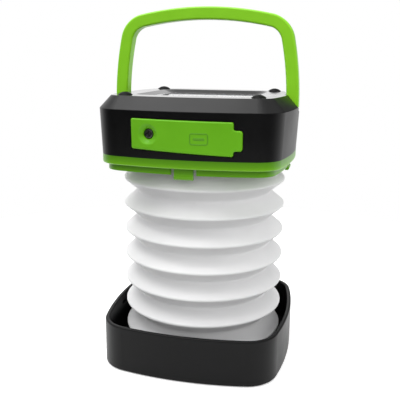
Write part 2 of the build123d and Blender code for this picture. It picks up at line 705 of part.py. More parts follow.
def board_components():
    """Coil, charge controller, boost converter and capacitor on the main board."""
    top = MAIN_BOARD_TOP
    parts = [
        box_between((-15.5, -36.5, top), (-9.5, -30.5, top + 3.0)),
        box_between((-6.8, -33.0, top), (-1.8, -29.0, top + 1.5)),
        box_between((-14.0, -28.6, top), (-10.0, -25.4, top + 1.2)),
        post(12.0, -27.4, top, top + 5.4, 2.5),
    ]
    return group(parts)


def main_board_screws():
    seat = MAIN_BOARD_TOP - BOARD_THICK
    return group(up_screw(x, y, seat, 6.0, 1.8, 0.8) for x, y in MAIN_BOARD_SCREWS)


def switch_board():
    """Upright board behind the back wall with the power switch and the indicator LEDs."""
    board = box_between((-14, SWITCH_BOARD_Y - BOARD_THICK, 112.4), (30, SWITCH_BOARD_Y, 126))
    for x, z in SWITCH_BOARD_SCREWS:
        board -= rod_y(30, 40, x, z, 1.1)
    return board


def switch_board_screws():
    seat = SWITCH_BOARD_Y - BOARD_THICK
    screws = []
    for x, z in SWITCH_BOARD_SCREWS:
        screws.append(rod_y(seat - 1.0, seat, x, z, 1.8) + rod_y(seat, seat + 6, x, z, 0.8))
    return group(screws)


def tact_switch():
    body = box_between((-3, SWITCH_BOARD_Y, BUTTON_Z - 3), (3, SWITCH_BOARD_Y + 3.5, BUTTON_Z + 3))
    return body - rod_y(SWITCH_BOARD_Y + 2.2, SWITCH_BOARD_Y + 4, 0, BUTTON_Z, 1.75)


def switch_plunger():
    """Plunger of the tact switch; the button's stem keeps hold of it."""
    return rod_y(SWITCH_BOARD_Y + 3.0, SWITCH_BOARD_Y + 5.0, 0, BUTTON_Z, 1.7)


def power_button():
    """Round push button in the back wall, with a stop flange and a stem onto the switch."""
    cap = rod_y(44.4, 48.1, 0, BUTTON_Z, BUTTON_RADIUS)
    cap = fillet(cap.edges().group_by(Axis.Y)[-1], 0.6)
    flange = rod_y(43.4, 44.5, 0, BUTTON_Z, BUTTON_RADIUS + 0.9)
    return cap + flange + rod_y(SWITCH_BOARD_Y + 5.0, 43.5, 0, BUTTON_Z, 2.0)


def indicator_leds():
    y = SWITCH_BOARD_Y + 0.4
    return group(Pos(x, y, BUTTON_Z) * Box(1.6, 0.8, 0.8) for x in LIGHT_PIPE_X)


def indicator_light_pipes():
    """Four clear rods that carry the charge lights to the back wall."""
    pipes = []
    for x in LIGHT_PIPE_X:
        face = HEAD_OUTLINE[0] - draft_at(BUTTON_Z) - x * x / (2 * HEAD_OUTLINE[2])
        pipes.append(rod_y(SWITCH_BOARD_Y + 1.2, face + 0.1, x, BUTTON_Z, 1.0))
    return group(pipes)


def battery_cell():
    body = rod_x(-CELL_LENGTH / 2, CELL_LENGTH / 2 - 1, CELL_Y, CELL_Z, CELL_RADIUS)
    body = fillet(body.edges(), 0.8)
    return body + rod_x(CELL_LENGTH / 2 - 1.2, CELL_LENGTH / 2, CELL_Y, CELL_Z, 2.9)


def battery_contacts():
    """Nickel strips at the two ends of the cell."""
    return group(contact_strip(side) for side in (-1, 1))


def contact_strip(side):
    near = side * (CELL_LENGTH / 2 + 0.05)
    far = side * (CELL_LENGTH / 2 + 0.45)
    xs = sorted((near, far))
    return box_between((xs[0], CELL_Y - 4, 113.6), (xs[1], CELL_Y + 4, 127.0))


def battery_cradle():
    """Trough under the cell with end walls and four screw ears."""
    long_half = CELL_LENGTH / 2 + 0.5
    block = box_between((-long_half - 1.6, CELL_Y - 11, 111.7), (long_half + 1.6, CELL_Y + 11, 120.5))
    block -= rod_x(-long_half, long_half, CELL_Y, CELL_Z, CELL_RADIUS + 0.15)
    block -= box_between((-long_half, CELL_Y - 9.35, CELL_Z), (long_half, CELL_Y + 9.35, 130))
    for x, y in CRADLE_SCREWS:
        inner_y = CELL_Y + (10 if y > CELL_Y else -10)
        ys = sorted((inner_y, y))
        block += box_between((x - 2.6, ys[0], CRADLE_EAR_TOP - 1.5), (x + 2.6, ys[1], CRADLE_EAR_TOP))
        block += post(x, y, CRADLE_EAR_TOP - 1.5, CRADLE_EAR_TOP, 2.6)
        block -= post(x, y, CRADLE_EAR_TOP - 3, CRADLE_EAR_TOP + 1, 1.0)
    return block


def cradle_screws():
    seat = CRADLE_EAR_TOP - 1.5
    return group(up_screw(x, y, seat, 6.5, 1.8, 0.8) for x, y in CRADLE_SCREWS)


def battery_leads():
    """Wires from the two contact strips to the main board."""
    leads = []
    for side, end_x in ((-1, -8.0), (1, 8.0)):
        start_x = side * (CELL_LENGTH / 2 + 1.05)
        leads.append(lead([
            (start_x, CELL_Y - 3.0, 124.5),
            (start_x, -16.0, 124.5),
            (side * 20.0, -18.5, 123.5),
            (end_x, -22.0, 123.5),
            (end_x, -22.0, MAIN_BOARD_TOP),
        ]))
    return group(leads)


def lamp_leads():
    """Wires from the main board down to the lamp board."""
    leads = []
    for x in (-4.0, -1.5):
        leads.append(lead([
            (x, -24.0, MAIN_BOARD_TOP - BOARD_THICK),
            (x, -24.0, 115.2),
            (x, -28.0, 113.8),
            (x, -28.0, LAMP_BOARD_TOP),
        ], bend=1.0))
    return group(leads)


def solar_leads():
    """Wires from the panel through the well's floor to the main board."""
    leads = []
    for x in (-0.9, 0.9):
        leads.append(lead([
            (x, -24.0, PANEL_SEAT),
            (x, -24.0, 127.0),
            (x, -27.0, 123.0),
            (x, -27.0, MAIN_BOARD_TOP),
        ]))
    return group(leads)


def seal():
    return seal_ring(0.05)


NODES = {
    "base_tray": base_tray,
    "base_pad": base_pad,
    "base_screws": base_screws,
    "bellows_clamp_plate": bellows_clamp_plate,
    "bellows": bellows,
    "lower_cover": lower_cover,
    "housing_seal": seal,
    "upper_clamp_ring": upper_clamp_ring,
    "clamp_ring_screws": clamp_ring_screws,
    "housing_screws": housing_screws,
    "lamp_window": lamp_window,
    "lamp_board": lamp_board,
    "lamp_board_screws": lamp_board_screws,
    "lamp_emitters": lamp_emitters,
    "head_housing": head_housing,
    "top_feet": top_feet,
    "solar_backing": solar_backing,
    "solar_cells": solar_cells,
    "panel_window": panel_window,
    "handle": handle,
    "handle_pins": handle_pins,
    "port_cover": port_cover,
    "port_cover_anchor": port_cover_anchor,
    "port_cover_screw": port_cover_screw,
    "usb_output_socket": usb_output_socket,
    "usb_output_tongue": usb_output_tongue,
    "micro_input_socket": micro_input_socket,
    "main_board": main_board,
    "board_components": board_components,
    "main_board_screws": main_board_screws,
    "switch_board": switch_board,
    "switch_board_screws": switch_board_screws,
    "tact_switch": tact_switch,
    "switch_plunger": switch_plunger,
    "power_button": power_button,
    "indicator_leds": indicator_leds,
    "indicator_light_pipes": indicator_light_pipes,
    "battery_cell": battery_cell,
    "battery_contacts": battery_contacts,
    "battery_cradle": battery_cradle,
    "cradle_screws": cradle_screws,
    "battery_leads": battery_leads,
    "lamp_leads": lamp_leads,
    "solar_leads": solar_leads,
}

os.makedirs(PARTS, exist_ok=True)
for name, build in NODES.items():
    save(name, build())
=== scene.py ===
import json
from math import acos, atan2, cos, pi, radians, sin, sqrt, tan

import bmesh
import bpy
from mathutils import Matrix, Vector


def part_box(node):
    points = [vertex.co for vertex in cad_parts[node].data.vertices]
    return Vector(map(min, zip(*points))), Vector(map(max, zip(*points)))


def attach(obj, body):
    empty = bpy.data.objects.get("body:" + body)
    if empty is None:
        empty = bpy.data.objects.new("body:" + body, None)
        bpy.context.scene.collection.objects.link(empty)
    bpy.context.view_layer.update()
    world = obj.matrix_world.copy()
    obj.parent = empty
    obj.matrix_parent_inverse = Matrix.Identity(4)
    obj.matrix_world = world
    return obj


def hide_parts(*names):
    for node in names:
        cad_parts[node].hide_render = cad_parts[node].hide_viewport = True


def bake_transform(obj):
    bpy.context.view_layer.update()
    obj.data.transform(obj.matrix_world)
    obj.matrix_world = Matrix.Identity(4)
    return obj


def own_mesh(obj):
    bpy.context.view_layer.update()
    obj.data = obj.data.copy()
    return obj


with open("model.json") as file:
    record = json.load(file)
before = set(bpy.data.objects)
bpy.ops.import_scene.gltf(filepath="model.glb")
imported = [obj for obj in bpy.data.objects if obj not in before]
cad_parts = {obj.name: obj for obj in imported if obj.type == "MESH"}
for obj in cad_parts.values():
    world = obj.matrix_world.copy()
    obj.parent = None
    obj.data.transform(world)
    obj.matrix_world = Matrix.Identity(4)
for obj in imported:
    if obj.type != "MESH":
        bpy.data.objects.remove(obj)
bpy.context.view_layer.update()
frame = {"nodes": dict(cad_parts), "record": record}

MM = 0.001
HOUSING_BOTTOM = 110.7 * MM
COVER_BOTTOM = 106.5 * MM
LIP_BOTTOM = 103.3 * MM
POLISH_BOTTOM = 138.4 * MM
WELL_REACH = 30.0 * MM
TRAY_SHADE_BOTTOM = 8.0 * MM
TRAY_SHADE_TOP = 68.0 * MM
X_AXIS, Z_AXIS = 0, 2


# ---- Camera and studio -------------------------------------------------------------------
CAMERA_DISTANCE = 0.3086
CAMERA_HEIGHT = 0.1550
CAMERA_SIDE = 0.2237
CAMERA_PAN = 0.0077
CAMERA_PITCH = 0.2336
CAMERA_ROLL = 0.0100
CAMERA_LENS = 52.98
CAMERA_SENSOR = 36
FLOOR_RADIUS = 0.32
FLOOR_SEGMENTS = 128


def add_camera():
    """Camera at the viewing angle of the picture, with a slight roll and no shift."""
    heading = CAMERA_SIDE + CAMERA_PAN
    forward = Vector((
        -sin(heading) * cos(CAMERA_PITCH),
        cos(heading) * cos(CAMERA_PITCH),
        -sin(CAMERA_PITCH),
    ))
    level = Vector((cos(heading), sin(heading), 0))
    upright = level.cross(forward)
    right = level * cos(CAMERA_ROLL) + upright * sin(CAMERA_ROLL)
    up = right.cross(forward)
    data = bpy.data.cameras.new("camera")
    data.lens = CAMERA_LENS
    data.sensor_width = CAMERA_SENSOR
    camera = bpy.data.objects.new("camera", data)
    place = Matrix.Identity(4)
    for row in range(3):
        place[row][0] = right[row]
        place[row][1] = up[row]
        place[row][2] = -forward[row]
    place.translation = Vector((
        CAMERA_DISTANCE * sin(CAMERA_SIDE),
        -CAMERA_DISTANCE * cos(CAMERA_SIDE),
        CAMERA_HEIGHT,
    ))
    camera.matrix_world = place
    bpy.context.scene.collection.objects.link(camera)
    bpy.context.scene.camera = camera


def area_light(name, place, aim, size, power, mirrored=True):
    """Soft box; one that isn't mirrored gives light but no highlight."""
    data = bpy.data.lights.new(name, "AREA")
    data.shape = "RECTANGLE"
    data.size, data.size_y = size
    data.energy = power
    light = bpy.data.objects.new(name, data)
    light.location = place
    light.visible_glossy = mirrored
    light.rotation_euler = (Vector(aim) - Vector(place)).to_track_quat("-Z", "Y").to_euler()
    bpy.context.scene.collection.objects.link(light)


def mapped(nodes, links, value, low, high, from_low=0.3, from_high=0.7, curve="LINEAR"):
    """Number that runs from low to high as value runs over the given range."""
    ramp = nodes.new("ShaderNodeMapRange")
    ramp.interpolation_type = curve
    ramp.inputs["From Min"].default_value = from_low
    ramp.inputs["From Max"].default_value = from_high
    ramp.inputs["To Min"].default_value = low
    ramp.inputs["To Max"].default_value = high
    links.new(value, ramp.inputs["Value"])
    return ramp.outputs["Result"]


def eased(nodes, links, value, low, high, from_low, from_high):
    """The same with soft ends."""
    return mapped(nodes, links, value, low, high, from_low, from_high, "SMOOTHSTEP")


def axes_of(nodes, links, coordinates="Object"):
    """The x, y and z of one kind of texture coordinate."""
    place = nodes.new("ShaderNodeTexCoord")
    split = nodes.new("ShaderNodeSeparateXYZ")
    links.new(place.outputs[coordinates], split.inputs["Vector"])
    return [split.outputs[axis] for axis in "XYZ"]


def mixed(nodes, links, factor, first, second):
    """Number that runs from first to second as factor runs from 0 to 1."""
    blend = nodes.new("ShaderNodeMix")
    links.new(factor, blend.inputs["Factor"])
    for source, socket in ((first, "A"), (second, "B")):
        if isinstance(source, float):
            blend.inputs[socket].default_value = source
        else:
            links.new(source, blend.inputs[socket])
    return blend.outputs["Result"]


def add_world():
    """Light tent: white to look at, softly graded as light, and with dark cards in reflections."""
    world = bpy.data.worlds.new("studio")
    bpy.context.scene.world = world
    world.use_nodes = True
    nodes, links = world.node_tree.nodes, world.node_tree.links
    nodes.clear()
    x, y, z = axes_of(nodes, links, "Generated")
    front = eased(nodes, links, z, 0.0, 1.3, 0.05, 0.5)
    right_card = eased(nodes, links, z, 1.0, 0.15, 0.0, 0.12)
    right_top = eased(nodes, links, z, 0.0, 1.0, 0.35, 0.8)
    back_right = mixed(nodes, links, right_top, right_card, 0.9)
    on_right = eased(nodes, links, x, 0.0, 1.0, -0.12, 0.06)
    back = mixed(nodes, links, on_right, 1.12, back_right)
    behind = eased(nodes, links, y, 0.0, 1.0, -0.3, 0.5)
    reflected = mixed(nodes, links, behind, front, back)
    soft_front = eased(nodes, links, z, 0.22, 0.74, -0.3, 0.3)
    soft_back = eased(nodes, links, z, 0.55, 1.25, -0.3, 0.3)
    around = eased(nodes, links, y, 0.0, 1.0, -0.6, 0.3)
    soft = mixed(nodes, links, around, soft_front, soft_back)
    path = nodes.new("ShaderNodeLightPath")
    strength = mixed(nodes, links, path.outputs["Is Diffuse Ray"], reflected, soft)
    lighting = nodes.new("ShaderNodeBackground")
    links.new(strength, lighting.inputs["Strength"])
    lighting.inputs["Color"].default_value = (1, 1, 1, 1)
    seen = nodes.new("ShaderNodeBackground")
    seen.inputs["Color"].default_value = (1, 1, 1, 1)
    choose = nodes.new("ShaderNodeMixShader")
    links.new(path.outputs["Is Camera Ray"], choose.inputs["Fac"])
    links.new(lighting.outputs[0], choose.inputs[1])
    links.new(seen.outputs[0], choose.inputs[2])
    output = nodes.new("ShaderNodeOutputWorld")
    links.new(choose.outputs[0], output.inputs["Surface"])


def floor_material():
    """Floor that is white to look at, and throws little light back up."""
    material = bpy.data.materials.new("studio_floor")
    material.use_nodes = True
    nodes, links = material.node_tree.nodes, material.node_tree.links
    seen = nodes["Principled BSDF"]
    seen.inputs["Base Color"].default_value = (0.9, 0.9, 0.9, 1)
    seen.inputs["Roughness"].default_value = 0.9
    seen.inputs["Specular IOR Level"].default_value = 0.1
    seen.inputs["Emission Color"].default_value = (1, 1, 1, 1)
    seen.inputs["Emission Strength"].default_value = 0.35
    bounce = nodes.new("ShaderNodeBsdfDiffuse")
    bounce.inputs["Color"].default_value = (0.2, 0.2, 0.2, 1)
    path = nodes.new("ShaderNodeLightPath")
    choose = nodes.new("ShaderNodeMixShader")
    links.new(path.outputs["Is Diffuse Ray"], choose.inputs["Fac"])
    links.new(seen.outputs[0], choose.inputs[1])
    links.new(bounce.outputs[0], choose.inputs[2])
    links.new(choose.outputs[0], nodes["Material Output"].inputs["Surface"])
    return material


def add_studio():
    """Pale round floor, the light tent, a broad soft overhead box and a weak fill."""
    bm = bmesh.new()
    bmesh.ops.create_circle(bm, cap_ends=True, segments=FLOOR_SEGMENTS, radius=FLOOR_RADIUS)
    mesh = bpy.data.meshes.new("studio_floor")
    bm.to_mesh(mesh)
    bm.free()
    floor = bpy.data.objects.new("studio_floor", mesh)
    bpy.context.scene.collection.objects.link(floor)
    mesh.materials.append(floor_material())
    add_world()
    area_light("overhead", place=(-0.2, -0.14, 0.95), aim=(0, 0, 0.1), size=(0.75, 0.75), power=7)
    area_light("low_fill", place=(0.28, -0.36, 0.2), aim=(0, 0, 0.12), size=(0.2, 0.2), power=0.42,
               mirrored=False)
    settings = bpy.context.scene.view_settings
    settings.view_transform = "Standard"
    settings.look = "None"


# ---- Materials ---------------------------------------------------------------------------
GRAIN_DEPTH = 0.00005
METAL_GRAIN_DEPTH = 0.00003
SKIN_GRAIN_DEPTH = 0.00004


def blank_material(name):
    """New material with its node lists and its main shader."""
    material = bpy.data.materials.new(name)
    material.use_nodes = True
    nodes = material.node_tree.nodes
    shader = nodes["Principled BSDF"]
    return material, nodes, material.node_tree.links, shader


def noise(nodes, links, scale, detail):
    """Cloudy number, fixed to the piece."""
    place = nodes.new("ShaderNodeTexCoord")
    texture = nodes.new("ShaderNodeTexNoise")
    texture.inputs["Scale"].default_value = scale
    texture.inputs["Detail"].default_value = detail
    texture.inputs["Roughness"].default_value = 0.55
    links.new(place.outputs["Object"], texture.inputs["Vector"])
    return texture.outputs["Fac"]


def maths(nodes, links, operation, *values):
    """One maths node, fed with sockets or plain numbers."""
    node = nodes.new("ShaderNodeMath")
    node.operation = operation
    for value, socket in zip(values, node.inputs):
        if isinstance(value, float):
            socket.default_value = value
        else:
            links.new(value, socket)
    return node.outputs[0]


def two_tone(nodes, links, value, dark, light):
    """Colour that runs from dark to light over the middle of value's range."""
    ramp = nodes.new("ShaderNodeValToRGB")
    ramp.color_ramp.elements[0].position = 0.3
    ramp.color_ramp.elements[1].position = 0.7
    ramp.color_ramp.elements[0].color = (*dark, 1)
    ramp.color_ramp.elements[1].color = (*light, 1)
    links.new(value, ramp.inputs["Fac"])
    return ramp.outputs["Color"]


def add_bump(nodes, links, shader, height, strength, distance):
    """Fine relief in the surface."""
    bump = nodes.new("ShaderNodeBump")
    bump.inputs["Strength"].default_value = strength
    bump.inputs["Distance"].default_value = distance
    links.new(height, bump.inputs["Height"])
    links.new(bump.outputs["Normal"], shader.inputs["Normal"])


def moulded(name, dark, light, roughness, grain, bump, specular=0.5, patch=60.0):
    """Moulded plastic or rubber: broad colour and gloss drift, fine grain in the surface."""
    material, nodes, links, shader = blank_material(name)
    broad = noise(nodes, links, patch, 3.0)
    fine = noise(nodes, links, grain, 2.0)
    links.new(two_tone(nodes, links, broad, dark, light), shader.inputs["Base Color"])
    links.new(mapped(nodes, links, broad, *roughness), shader.inputs["Roughness"])
    add_bump(nodes, links, shader, fine, bump, GRAIN_DEPTH)
    shader.inputs["Specular IOR Level"].default_value = specular
    return material


def housing_black(dark, light):
    """Black moulding: satin walls with a fine level grain, polished top plate and well."""
    material, nodes, links, shader = blank_material("housing_black")
    place = nodes.new("ShaderNodeTexCoord")
    stretch = nodes.new("ShaderNodeMapping")
    stretch.inputs["Scale"].default_value = (1, 1, 30)
    links.new(place.outputs["Object"], stretch.inputs["Vector"])
    grain = nodes.new("ShaderNodeTexNoise")
    grain.inputs["Scale"].default_value = 90.0
    grain.inputs["Detail"].default_value = 3.0
    links.new(stretch.outputs["Vector"], grain.inputs["Vector"])
    broad = noise(nodes, links, 60.0, 3.0)
    links.new(two_tone(nodes, links, broad, dark, light), shader.inputs["Base Color"])
    x, y, z = axes_of(nodes, links)
    on_top = maths(nodes, links, "GREATER_THAN", z, POLISH_BOTTOM)
    across = maths(nodes, links, "ABSOLUTE", x)
    along = maths(nodes, links, "ABSOLUTE", y)
    away = maths(nodes, links, "MAXIMUM", across, along)
    in_well = maths(nodes, links, "LESS_THAN", away, WELL_REACH)
    polished = maths(nodes, links, "MAXIMUM", on_top, in_well)
    polish = maths(nodes, links, "MULTIPLY", polished, 0.25)
    satin = mapped(nodes, links, broad, 0.32, 0.38)
    links.new(maths(nodes, links, "SUBTRACT", satin, polish), shader.inputs["Roughness"])
    shader.inputs["Specular IOR Level"].default_value = 0.24
    add_bump(nodes, links, shader, grain.outputs["Fac"], 0.12, GRAIN_DEPTH)
    return material


def cover_green():
    """Green moulding of the lower cover, with painted light and shade: each of its two steps is painted
    pale along its lower edge and dark up under the step above.
    """
    material, nodes, links, shader = blank_material("cover_green")
    z = axes_of(nodes, links)[Z_AXIS]
    height = mapped(nodes, links, z, 0.0, 1.0, LIP_BOTTOM, HOUSING_BOTTOM)
    step = (COVER_BOTTOM - LIP_BOTTOM) / (HOUSING_BOTTOM - LIP_BOTTOM)
    ramp = nodes.new("ShaderNodeValToRGB")
    # Painted light and shade by height: darkest just under each overhang, palest in a thin band along each
    # lower edge, darker overall than the other greens.
    painted_light_stops = (
        (0.0, (0.150, 0.430, 0.006)),
        (step * 0.5, (0.100, 0.300, 0.003)),
        (step * 0.9, (0.080, 0.250, 0.002)),
        (step * 1.05, (0.210, 0.560, 0.012)),
        (step + 0.12, (0.150, 0.420, 0.005)),
        (step + 0.30, (0.105, 0.325, 0.003)),
        (1.0, (0.080, 0.260, 0.002)),
    )
    line = ramp.color_ramp
    line.elements[0].position = 0.0
    line.elements[1].position = 1.0
    for position, _ in painted_light_stops[1:-1]:
        line.elements.new(position)
    for element, (_, colour) in zip(line.elements, painted_light_stops):
        element.color = (*colour, 1)
    links.new(height, ramp.inputs["Fac"])
    links.new(ramp.outputs["Color"], shader.inputs["Base Color"])
    fine = noise(nodes, links, 1500.0, 2.0)
    links.new(mapped(nodes, links, fine, 0.30, 0.36), shader.inputs["Roughness"])
    add_bump(nodes, links, shader, fine, 0.08, GRAIN_DEPTH)
    return material


def metal(name, dark, light, roughness):
    """Bare metal with an even fine grain."""
    material, nodes, links, shader = blank_material(name)
    fine = noise(nodes, links, 900.0, 3.0)
    links.new(two_tone(nodes, links, fine, dark, light), shader.inputs["Base Color"])
    links.new(mapped(nodes, links, fine, *roughness), shader.inputs["Roughness"])
    shader.inputs["Metallic"].default_value = 1.0
    add_bump(nodes, links, shader, fine, 0.15, METAL_GRAIN_DEPTH)
    return material


def silicone():
    """Milky silicone: soft light scatter, satin skin, faint clouding, and painted shade that greys it low
    down towards the tray.
    """
    material, nodes, links, shader = blank_material("silicone")
    cloud = noise(nodes, links, 35.0, 3.0)
    fine = noise(nodes, links, 1800.0, 2.0)
    colour = two_tone(nodes, links, cloud, (0.80, 0.80, 0.805), (0.86, 0.86, 0.862))
    # Painted shade: the colour turns greyer towards the tray, standing in for the shade the lower folds lie
    # in.
    z = axes_of(nodes, links)[Z_AXIS]
    height = eased(nodes, links, z, 0.0, 1.0, TRAY_SHADE_BOTTOM, TRAY_SHADE_TOP)
    tray_painted_shade = nodes.new("ShaderNodeMix")
    tray_painted_shade.data_type = "RGBA"
    tray_painted_shade.inputs["A"].default_value = (0.66, 0.66, 0.665, 1)
    links.new(height, tray_painted_shade.inputs["Factor"])
    links.new(colour, tray_painted_shade.inputs["B"])
    links.new(tray_painted_shade.outputs["Result"], shader.inputs["Base Color"])
    links.new(mapped(nodes, links, cloud, 0.42, 0.52), shader.inputs["Roughness"])
    shader.inputs["Subsurface Weight"].default_value = 0.35
    shader.inputs["Subsurface Radius"].default_value = (1.0, 1.0, 1.0)
    shader.inputs["Subsurface Scale"].default_value = 0.0025
    shader.inputs["Specular IOR Level"].default_value = 0.35
    add_bump(nodes, links, shader, fine, 0.12, SKIN_GRAIN_DEPTH)
    return material


def solar_silicon():
    """Near-black blue cells with thin dim grey fingers across each strip."""
    material, nodes, links, shader = blank_material("solar_silicon")
    place = nodes.new("ShaderNodeTexCoord")
    fingers = nodes.new("ShaderNodeTexWave")
    fingers.wave_type = "BANDS"
    fingers.bands_direction = "Y"
    fingers.inputs["Scale"].default_value = 130.0
    links.new(place.outputs["Object"], fingers.inputs["Vector"])
    cloud = noise(nodes, links, 120.0, 2.0)
    blue = two_tone(nodes, links, cloud, (0.0050, 0.0075, 0.022), (0.0070, 0.0110, 0.032))
    lines = nodes.new("ShaderNodeMix")
    lines.data_type = "RGBA"
    lines.inputs["B"].default_value = (0.06, 0.065, 0.075, 1)
    links.new(mapped(nodes, links, fingers.outputs["Fac"], 0, 1, 0.965, 0.99), lines.inputs["Factor"])
    links.new(blue, lines.inputs["A"])
    links.new(lines.outputs["Result"], shader.inputs["Base Color"])
    shader.inputs["Roughness"].default_value = 0.25
    shader.inputs["Specular IOR Level"].default_value = 0.05
    return material


def clear(name, tint, roughness, transmission):
    """Clear or frosted plastic."""
    material, nodes, links, shader = blank_material(name)
    fine = noise(nodes, links, 700.0, 2.0)
    links.new(mapped(nodes, links, fine, *roughness), shader.inputs["Roughness"])
    shader.inputs["Base Color"].default_value = (*tint, 1)
    shader.inputs["Transmission Weight"].default_value = transmission
    shader.inputs["IOR"].default_value = 1.49
    return material


DEEP_BLACK = {"dark": (0.0015, 0.0015, 0.0016), "light": (0.003, 0.003, 0.0033)}
BASE_BLACK = {"dark": (0.0025, 0.0025, 0.0027), "light": (0.004, 0.004, 0.0043)}
RUBBER_BLACK = {"dark": (0.004, 0.004, 0.004), "light": (0.009, 0.009, 0.009)}
PACKAGE_BLACK = {"dark": (0.012, 0.012, 0.013), "light": (0.03, 0.03, 0.03)}
GREEN = {"dark": (0.135, 0.455, 0.004), "light": (0.155, 0.500, 0.006)}
# Painted light: the handle's green is a lighter copy of the green plastic, for the stronger light it gets
# high above the head.
HANDLE_GREEN = {"dark": (0.240, 0.635, 0.012), "light": (0.270, 0.695, 0.016)}
MARK_GREEN = {"dark": (0.09, 0.31, 0.010), "light": (0.105, 0.34, 0.013)}
BOARD_GREEN = {"dark": (0.006, 0.07, 0.02), "light": (0.012, 0.12, 0.035)}
PLASTIC_WHITE = {"dark": (0.70, 0.70, 0.69), "light": (0.80, 0.80, 0.79)}
BOARD_WHITE = {"dark": (0.72, 0.72, 0.70), "light": (0.82, 0.82, 0.80)}
LED_YELLOW = {"dark": (0.75, 0.62, 0.12), "light": (0.88, 0.76, 0.22)}
WRAP_BLUE = {"dark": (0.01, 0.08, 0.30), "light": (0.02, 0.11, 0.38)}
WIRE_RED = {"dark": (0.35, 0.01, 0.01), "light": (0.5, 0.02, 0.015)}
MOULDED = {
    "black_plastic": dict(DEEP_BLACK, roughness=(0.32, 0.4), grain=2600.0, bump=0.2, specular=0.24),
    "base_black": dict(BASE_BLACK, roughness=(0.34, 0.42), grain=2600.0, bump=0.2, specular=0.15),
    "green_plastic": dict(GREEN, roughness=(0.30, 0.36), grain=1500.0, bump=0.08, specular=0.4),
    "handle_green": dict(HANDLE_GREEN, roughness=(0.3, 0.36), grain=1500.0, bump=0.08, specular=0.4),
    "green_rubber": dict(GREEN, roughness=(0.42, 0.5), grain=2200.0, bump=0.15, specular=0.35),
    "green_rubber_dark": dict(MARK_GREEN, roughness=(0.42, 0.5), grain=2200.0, bump=0.15, specular=0.35),
    "black_rubber": dict(RUBBER_BLACK, roughness=(0.5, 0.62), grain=1700.0, bump=0.3, specular=0.4),
    "foot_rubber": dict(DEEP_BLACK, roughness=(0.36, 0.44), grain=1700.0, bump=0.2, specular=0.07),
    "white_plastic": dict(PLASTIC_WHITE, roughness=(0.35, 0.45), grain=1800.0, bump=0.15),
    "component_black": dict(PACKAGE_BLACK, roughness=(0.4, 0.55), grain=3000.0, bump=0.3),
    "circuit_board": dict(BOARD_GREEN, roughness=(0.25, 0.4), grain=500.0, bump=0.3, patch=400.0),
    "white_board": dict(BOARD_WHITE, roughness=(0.3, 0.4), grain=900.0, bump=0.1),
    "led_package": dict(LED_YELLOW, roughness=(0.15, 0.25), grain=800.0, bump=0.1),
    "cell_wrap": dict(WRAP_BLUE, roughness=(0.2, 0.3), grain=300.0, bump=0.15),
    "red_insulation": dict(WIRE_RED, roughness=(0.35, 0.5), grain=900.0, bump=0.2),
}
METALS = {
    "nickel_steel": {"dark": (0.55, 0.54, 0.52), "light": (0.72, 0.71, 0.69), "roughness": (0.14, 0.24)},
    "zinc_steel": {"dark": (0.42, 0.42, 0.43), "light": (0.58, 0.58, 0.58), "roughness": (0.28, 0.4)},
    # Painted shade: dark_steel is a darkened copy of the steel, for the cover screw deep in its
    # countersink.
    "dark_steel": {"dark": (0.06, 0.06, 0.062), "light": (0.14, 0.14, 0.14), "roughness": (0.3, 0.42)},
}
SEE_THROUGH = {
    "clear_plastic": {"tint": (0.95, 0.97, 0.99), "roughness": (0.03, 0.06), "transmission": 1.0},
    "frosted_plastic": {"tint": (0.92, 0.92, 0.92), "roughness": (0.5, 0.6), "transmission": 0.6},
}


def make_materials():
    """Every material by its name."""
    materials = {
        "housing_black": housing_black(dark=(0.0008, 0.0008, 0.0009), light=(0.0018, 0.0018, 0.002)),
        "cover_green": cover_green(),
        "silicone": silicone(),
        "solar_silicon": solar_silicon(),
    }
    for make, looks in ((moulded, MOULDED), (metal, METALS), (clear, SEE_THROUGH)):
        for name, look in looks.items():
            materials[name] = make(name, **look)
    return materials


def finish_cad_nodes(materials):
    """Each CAD node takes the material of its record slot, or the one named here."""
    finish = {item["node"]: item["material_slot"] for item in frame["record"]["subparts"]}
    finish.update(
        head_housing="housing_black",
        base_tray="base_black",
        # The lower cover takes cover_green, whose colour carries painted light and shade by height.
        handle="handle_green",
        # The handle takes handle_green, a lighter copy of the green plastic as painted light.
        lower_cover="cover_green",
        # The cover screw takes dark_steel, darkened as painted shade for its deep countersink.
        port_cover_screw="dark_steel",
        solar_backing="white_board",
        top_feet="foot_rubber",
    )
    for name, node in frame["nodes"].items():
        node.data.materials.clear()
        node.data.materials.append(materials[finish[name]])


# ---- Mesh helpers ------------------------------------------------------------------------
def new_piece(name, bm, material, smooth_angle=radians(40)):
    """Object from a mesh in the making, smooth but for edges sharper than the angle."""
    mesh = bpy.data.meshes.new(name)
    bmesh.ops.recalc_face_normals(bm, faces=bm.faces)
    for face in bm.faces:
        face.smooth = True
    for edge in bm.edges:
        if len(edge.link_faces) == 2 and edge.calc_face_angle(0.0) > smooth_angle:
            edge.smooth = False
    bm.to_mesh(mesh)
    bm.free()
    mesh.materials.append(material)
    piece = bpy.data.objects.new(name, mesh)
    bpy.context.scene.collection.objects.link(piece)
    return piece


def rounded_line(points, radii, steps=6):
    """Polyline whose corners are replaced by arcs of the given radii (0 keeps a corner)."""
    line = []
    for index, (point, radius) in enumerate(zip(points, radii)):
        if radius == 0 or index in (0, len(points) - 1):
            line.append(point)
            continue
        corner = Vector(point)
        before = (Vector(points[index - 1]) - corner).normalized()
        after = (Vector(points[index + 1]) - corner).normalized()
        half = acos(max(-1, min(1, before.dot(after)))) / 2
        centre = corner + (before + after).normalized() * (radius / sin(half))
        start = corner + before * (radius / tan(half)) - centre
        end = corner + after * (radius / tan(half)) - centre
        turn = atan2(start.x * end.y - start.y * end.x, start.dot(end))
        for step in range(steps + 1):
            angle = turn * step / steps
            c, s = cos(angle), sin(angle)
            line.append((centre.x + start.x * c - start.y * s, centre.y + start.x * s + start.y * c))
    return line


